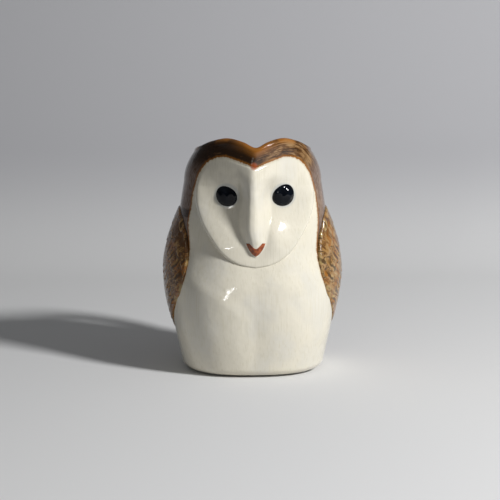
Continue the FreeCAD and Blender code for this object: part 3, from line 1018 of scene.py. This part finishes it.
class Shader:
    """A material and short ways to add nodes to it."""

    def __init__(self, name):
        self.material = bpy.data.materials.new(name)
        self.material.use_nodes = True
        self.tree = self.material.node_tree
        self.shader = self.tree.nodes["Principled BSDF"]
        split = self.node("ShaderNodeSeparateXYZ", self.node("ShaderNodeTexCoord").outputs["Object"])
        self.place = [self.times(out, 1 / MM) for out in split.outputs]

    def put(self, socket, value):
        """Sets a socket to a value or joins another node's socket to it."""
        if isinstance(value, bpy.types.NodeSocket):
            self.tree.links.new(value, socket)
        elif isinstance(value, tuple):
            socket.default_value = (*value, 1.0) if len(socket.default_value) == 4 else value
        else:
            socket.default_value = value

    def node(self, kind, *values, **settings):
        """Adds a node with its settings and its first sockets, and gives it back."""
        node = self.tree.nodes.new(kind)
        for key, value in settings.items():
            setattr(node, key, value)
        for socket, value in zip(node.inputs, values):
            self.put(socket, value)
        return node

    def value(self, name):
        """A value that the mesh carries."""
        return self.node("ShaderNodeAttribute", attribute_name=name).outputs["Fac"]

    def math(self, operation, *values):
        """The result of one operation."""
        return self.node("ShaderNodeMath", *values, operation=operation).outputs[0]

    def plus(self, first, second):
        """The sum of two values."""
        return self.math("ADD", first, second)

    def times(self, value, *factors):
        """The product of some values."""
        for factor in factors:
            value = self.math("MULTIPLY", value, factor)
        return value

    def off(self, value, middle, strength):
        """How far a value is from its middle, times a strength."""
        return self.times(self.math("SUBTRACT", value, middle), strength)

    def noise(self, values, cells, detail=2.0, roughness=0.5, layer=0.0):
        """Noise from about 0.2 to 0.8 over two or three values, in cells for each unit of them."""
        scaled = [self.times(value, size) for value, size in zip(values, cells)]
        vector = self.node("ShaderNodeCombineXYZ", *[*scaled, layer][:3]).outputs[0]
        node = self.node("ShaderNodeTexNoise")
        for name, value in (("Vector", vector), ("Scale", 1.0), ("Detail", detail), ("Roughness", roughness)):
            self.put(node.inputs[name], value)
        return node.outputs["Fac"]

    def ramp(self, value, low, high, most=1.0):
        """0 below low and most above high, smoothly. Low may be above high."""
        node = self.node("ShaderNodeMapRange", value, low, high, 0.0, most, interpolation_type="SMOOTHSTEP")
        return node.outputs[0]

    def mix(self, share, first, second):
        """A mix of two colours."""
        node = self.node("ShaderNodeMix", data_type="RGBA")
        for socket, value in ((0, share), (6, first), (7, second)):
            self.put(node.inputs[socket], value)
        return node.outputs[2]

    def over(self, colour, second, *shares):
        """A colour with another laid over it, by the product of some shares."""
        return self.mix(self.times(*shares), colour, second)

    def bump(self, height, distance, normal=None):
        """A bump from a height of 0 to 1, whose distance is in millimetres."""
        node = self.node("ShaderNodeBump")
        self.put(node.inputs["Strength"], 1.0)
        self.put(node.inputs["Distance"], distance * MM)
        self.put(node.inputs["Height"], height)
        if normal is not None:
            self.put(node.inputs["Normal"], normal)
        return node.outputs[0]

    def finish(self, colour, roughness, normal=None, specular=0.5):
        """Sets the shader's own values and gives the material back."""
        self.put(self.shader.inputs["Specular IOR Level"], specular)
        self.put(self.shader.inputs["Base Color"], colour)
        self.put(self.shader.inputs["Roughness"], roughness)
        if normal is not None:
            self.put(self.shader.inputs["Normal"], normal)
        return self.material


def cream_colour(s):
    """Cream glaze with faint upright brush lines and soft clouds."""
    lines = s.noise(s.place, LINE_CELLS, 3.0)
    clouds = s.noise(s.place, CLOUD_CELLS, 3.0)
    colour = s.mix(s.ramp(clouds, *CREAM_CLOUDS), CREAM, CREAM_CLOUD)
    return s.over(colour, CREAM_LINES, s.ramp(lines, *CREAM_STROKES)), lines


def brown_colour(s, along, across):
    """Brown glaze brushed in strokes: dark and amber by the lip, tan in patches, grey down the sides. It also
    carries painted shade on the owl's right and along the wing's crease, a painted shadow over the right
    shoulder, and painted light in tan strokes by the lip on the lit left.
    """
    x, y, z = s.place
    lip = s.value("lip")
    long = s.noise((along, across), LONG_CELLS, 3.0, 0.6)
    fine = s.noise((along, across), FINE_CELLS, 2.0, 0.6, FINE_LAYER)
    patch = s.noise(s.place, PATCH_CELLS)
    both = s.plus(s.times(long, LONG_SHARE), s.times(fine, 1 - LONG_SHARE))
    # The owl's right faces away from the key lamp, so the tone drops there: painted shade.
    left = s.ramp(x, *LIT_SIDE_SPAN)
    tone = s.plus(s.plus(both, s.off(patch, 0.5, PATCH_CHANGE)), s.off(left, SIDE_SHADE_MIDDLE, SIDE_SHADE_CHANGE))
    colour = s.mix(s.ramp(tone, *BROWN_STROKES), UMBER, BROWN)
    colour = s.over(colour, TAN, s.ramp(tone, *TAN_STROKES))
    grey = s.mix(s.ramp(both, *GREY_STROKES), MAUVE, MAUVE_PALE)
    grey = s.over(grey, BROWN, s.ramp(fine, *GREY_HOLLOWS))
    colour = s.over(colour, grey, s.ramp(z, *GREY_BELOW))
    # Tan strokes by the lip on the lit left only: painted light.
    colour = s.over(colour, TAN, s.ramp(fine, *LIT_SIDE_STROKES), s.ramp(lip, *LIT_SIDE_LIP), left)
    amber = s.times(s.ramp(lip, *AMBER_LIP), s.ramp(patch, *AMBER_PATCHES))
    notch = s.times(s.ramp(s.math("ABSOLUTE", x), *AMBER_NOTCH), s.ramp(lip, *NOTCH_DROP))
    colour = s.over(colour, AMBER, s.math("MAXIMUM", amber, notch))
    # Umber along the crease where the wing meets the body: painted shade.
    colour = s.over(colour, UMBER, s.ramp(s.value("seam"), *WING_CREASE_SHADE))
    # A dark band over the owl's right shoulder, where the hood meets the wing: a painted shadow.
    shade_band = [s.ramp(z, *SHADE_BAND_BOTTOM), s.ramp(z, *SHADE_BAND_TOP), s.ramp(x, *SHADE_BAND_SIDE), s.ramp(y, *SHADE_BAND_BACK)]
    return s.over(colour, UMBER, *shade_band), both


def painted(name, with_eyes=False):
    """Cream and brown glaze with the brushed edge between them."""
    s = Shader(name)
    along, across = s.value("along"), s.value("across")
    cream, lines = cream_colour(s)
    brown, strokes = brown_colour(s, along, across)
    wobble = s.noise((along, across), EDGE_CELLS, 3.0, 0.6, EDGE_LAYER)
    gap = s.plus(s.value("paint"), s.off(wobble, 0.5, EDGE_WOBBLE))
    brown = s.over(brown, AMBER, s.ramp(gap, *AMBER_FRINGE))
    cream = s.over(cream, STRAW, s.ramp(gap, *STRAW_EDGE))
    if with_eyes:
        cream = s.over(cream, EYE_HALO, s.ramp(s.value("eye"), *EYE_HALO_REACH))
    colour = s.mix(s.ramp(gap, *PAINT_EDGE), cream, brown)
    x, _, z = s.place
    away = [s.math("POWER", s.plus(at, -middle), 2.0) for at, middle in zip((x, z), NOTCH_SPOT)]
    away = s.math("SQRT", s.plus(*away))
    colour = s.over(colour, RUST, s.ramp(away, *SPOT_SIZE), s.ramp(s.value("lip"), *SPOT_DROP))
    normal = s.bump(s.noise(s.place, WAVE_CELLS), CREAM_WAVE)
    normal = s.bump(lines, CREAM_LINE_DEPTH, normal)
    normal = s.bump(s.times(strokes, s.ramp(gap, *STROKES_START)), BROWN_STROKE_DEPTH, normal)
    return s.finish(colour, CREAM_ROUGHNESS, normal)


def feathered(name):
    """The glaze of wings and tail: worn edges, dark hollows, streaked vanes and slanting dashes, with painted
    shade on the owl's right, which faces away from the key lamp.
    """
    s = Shader(name)
    along, across, rim = s.value("along"), s.value("across"), s.value("rim")
    number, relief = s.value("number"), s.value("relief")
    x, y, _ = s.place
    streak = s.noise((along, across), STREAK_CELLS, 3.0, 0.65, number)
    patch = s.noise(s.place, WARM_CELLS)
    dash = s.noise(s.place, DASH_CELLS, 2.0, 0.6)
    tone = s.plus(s.times(streak, STREAK_SHARE), s.times(dash, 1 - STREAK_SHARE))
    tone = s.plus(tone, s.off(number, 0.5, NUMBER_CHANGE))
    tone = s.plus(tone, s.off(relief, RELIEF_MIDDLE, RELIEF_CHANGE))
    # Darker on the owl's right, away from the key lamp: painted shade.
    tone = s.math("SUBTRACT", tone, s.ramp(x, *SHADED_SIDE_DARKER))
    colour = s.mix(s.ramp(tone, *OCHRE_TONES), BROWN, OCHRE)
    colour = s.over(colour, TAN, s.ramp(tone, *TAN_TONES))
    colour = s.over(colour, STRAW, s.ramp(tone, *STRAW_TONES))
    colour = s.over(colour, AMBER, s.ramp(patch, *WARM_PATCHES), s.ramp(dash, *WARM_DASHES))
    beside = s.math("ABSOLUTE", s.plus(across, s.off(dash, 0.5, SHAFT_WANDER)))
    shaft = [s.ramp(beside, *SHAFT_WIDTH), s.ramp(rim, *SHAFT_START), s.ramp(rim, *SHAFT_END)]
    colour = s.over(colour, UMBER, *shaft, s.ramp(number, *SHAFT_NUMBERS))
    colour = s.over(colour, BROWN, s.ramp(s.math("ABSOLUTE", across), *FEATHER_SIDES))
    colour = s.over(colour, UMBER, s.ramp(relief, *FEATHER_HOLLOWS))
    grey = s.mix(s.ramp(streak, *OUTER_STREAKS), MAUVE, MAUVE_PALE)
    colour = s.over(colour, grey, s.ramp(y, *OUTER_DEPTH), s.ramp(tone, *OUTER_TONES))
    fringe = s.ramp(s.value("paint"), *FEATHER_FRINGE)
    colour = s.over(colour, STRAW, fringe, s.ramp(dash, *FRINGE_DASHES))
    normal = s.bump(s.noise(s.place, FEATHER_WAVE_CELLS), FEATHER_WAVE)
    return s.finish(colour, FEATHER_ROUGHNESS, s.bump(tone, FEATHER_TONE_DEPTH, normal))


def plain_glaze(name, colours, cells, roughness, wave=LOW_WAVE, shift=0.0, specular=0.5):
    """A glaze of one colour, clouded with another, over low waves."""
    s = Shader(name)
    places = [s.math("MULTIPLY_ADD", axis, cells, shift) for axis in s.place]
    cloud = s.noise(places, (1.0, 1.0, 1.0), 1.0)
    mixed = s.mix(s.ramp(cloud, *CLOUD_MIX), *colours)
    return s.finish(mixed, roughness, s.bump(cloud, wave), specular)


def make_sweep():
    """The floor and backdrop in one sheet."""
    path = [(y, 0.0) for y in np.linspace(SWEEP_FRONT, SWEEP_START, 20)]
    for turn in arc(0, SWEEP_TURN, 24)[1:]:
        path.append((SWEEP_START + SWEEP_RADIUS * math.sin(turn), SWEEP_RADIUS * (1 - math.cos(turn))))
    points = [(x * MM, y * MM, z * MM) for y, z in path for x in (-SWEEP_HALF_WIDTH, SWEEP_HALF_WIDTH)]
    faces = [(2 * i, 2 * i + 1, 2 * i + 3, 2 * i + 2) for i in range(len(path) - 1)]
    mesh = bpy.data.meshes.new("stage_sweep")
    mesh.from_pydata(points, [], faces)
    mesh.shade_smooth()
    sweep = bpy.data.objects.new("stage_sweep", mesh)
    bpy.context.collection.objects.link(sweep)
    s = Shader("stage_paper")
    x, y, z = s.place
    seen = s.node("ShaderNodeLightPath")
    shown = s.math("MAXIMUM", seen.outputs["Is Camera Ray"], seen.outputs["Is Glossy Ray"])
    # The wall's darker grey above the floor, and its darkening to the left, are painted shade.
    wall = s.mix(s.ramp(z, *WALL_HEIGHTS), FLOOR_GREY, SHADED_WALL_GREY)
    wall = s.over(wall, (0.0, 0.0, 0.0), s.ramp(x, *WALL_LEFT_SHADE))
    bounce = s.mix(s.ramp(y, *BOUNCE_DEPTHS), BOUNCE_GREY, BOUNCE_FRONT)
    mesh.materials.append(s.finish(s.mix(shown, bounce, wall), STAGE_ROUGHNESS, specular=0.0))


def aim(thing, place, toward):
    """Puts a lamp or camera at a place in millimetres, facing away from a direction."""
    thing.location = place * MM
    thing.rotation_euler = toward.to_track_quat("Z", "Y").to_euler()
    bpy.context.collection.objects.link(thing)


def make_lamp(name, azimuth, elevation, size, power):
    """A round softbox that faces the object."""
    turn, tilt = math.radians(azimuth), math.radians(elevation)
    toward = Vector((math.sin(turn) * math.cos(tilt), -math.cos(turn) * math.cos(tilt), math.sin(tilt)))
    lamp = bpy.data.lights.new(name, "AREA")
    lamp.shape = "DISK"
    lamp.size = size * MM
    lamp.energy = power
    aim(bpy.data.objects.new(name, lamp), toward * LAMP_DISTANCE + Vector((0, 0, HEIGHT / 2)), toward)


def make_fill():
    """The fill: dim from below, brighter from above, and plain grey to the camera."""
    world = bpy.data.worlds.new("fill")
    world.use_nodes = True
    nodes, links = world.node_tree.nodes, world.node_tree.links
    split = nodes.new("ShaderNodeSeparateXYZ")
    links.new(nodes.new("ShaderNodeTexCoord").outputs["Generated"], split.inputs[0])
    ramp = nodes.new("ShaderNodeMapRange")
    ramp.inputs["To Min"].default_value = FILL_LEVEL
    ramp.inputs["To Max"].default_value = FILL_ABOVE
    links.new(split.outputs["Z"], ramp.inputs["Value"])
    shown = nodes.new("ShaderNodeMix")
    shown.inputs["B"].default_value = SKY_LEVEL
    links.new(nodes.new("ShaderNodeLightPath").outputs["Is Camera Ray"], shown.inputs["Factor"])
    links.new(ramp.outputs[0], shown.inputs["A"])
    links.new(shown.outputs["Result"], nodes["Background"].inputs["Strength"])
    nodes["Background"].inputs["Color"].default_value = FILL_COLOUR
    bpy.context.scene.world = world


def make_camera():
    """The camera of the photograph."""
    turn = math.radians(CAMERA_AZIMUTH)
    spot = Vector((math.sin(turn), -math.cos(turn), 0)) * CAMERA_DISTANCE
    spot += Vector((CAMERA_SHIFT, 0, CAMERA_HEIGHT))
    camera = bpy.data.objects.new("camera", bpy.data.cameras.new("camera"))
    camera.data.lens = LENS
    camera.data.sensor_width = SENSOR_WIDTH
    aim(camera, spot, spot - Vector((CAMERA_SHIFT, 0, LOOK_HEIGHT)))
    bpy.context.scene.camera = camera
    bpy.context.scene.view_settings.view_transform = "Standard"


eye_glaze = plain_glaze("owl_eye_glaze", EYE_COLOURS, EYE_CELLS, EYE_ROUGHNESS,
                        EYE_WAVE, EYE_SHIFT, EYE_SPECULAR)
feather_glaze = feathered("owl_feather_glaze")
make_body(painted("owl_body_glaze"))
make_face(painted("owl_face_glaze", with_eyes=True))
make_beak(plain_glaze("owl_beak_glaze", BEAK_COLOURS, BEAK_CELLS, BEAK_ROUGHNESS))
make_eye("owl_eye_left", 1, "eye_left", eye_glaze)
make_eye("owl_eye_right", -1, "eye_right", eye_glaze)
make_wing("owl_wing_left", 1, "wing_left", feather_glaze)
make_wing("owl_wing_right", -1, "wing_right", feather_glaze)
make_tail(feather_glaze)
make_handle(painted("owl_handle_glaze"))
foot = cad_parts["foot_ring"]
foot.data.materials.clear()
foot.data.materials.append(plain_glaze("bare_clay", CLAY_COLOURS, CLAY_CELLS, CLAY_ROUGHNESS))
make_sweep()
make_lamp("key", KEY_AZIMUTH, KEY_ELEVATION, KEY_SIZE, KEY_POWER)
make_lamp("side", SIDE_AZIMUTH, SIDE_ELEVATION, SIDE_SIZE, SIDE_POWER)
make_fill()
make_camera()
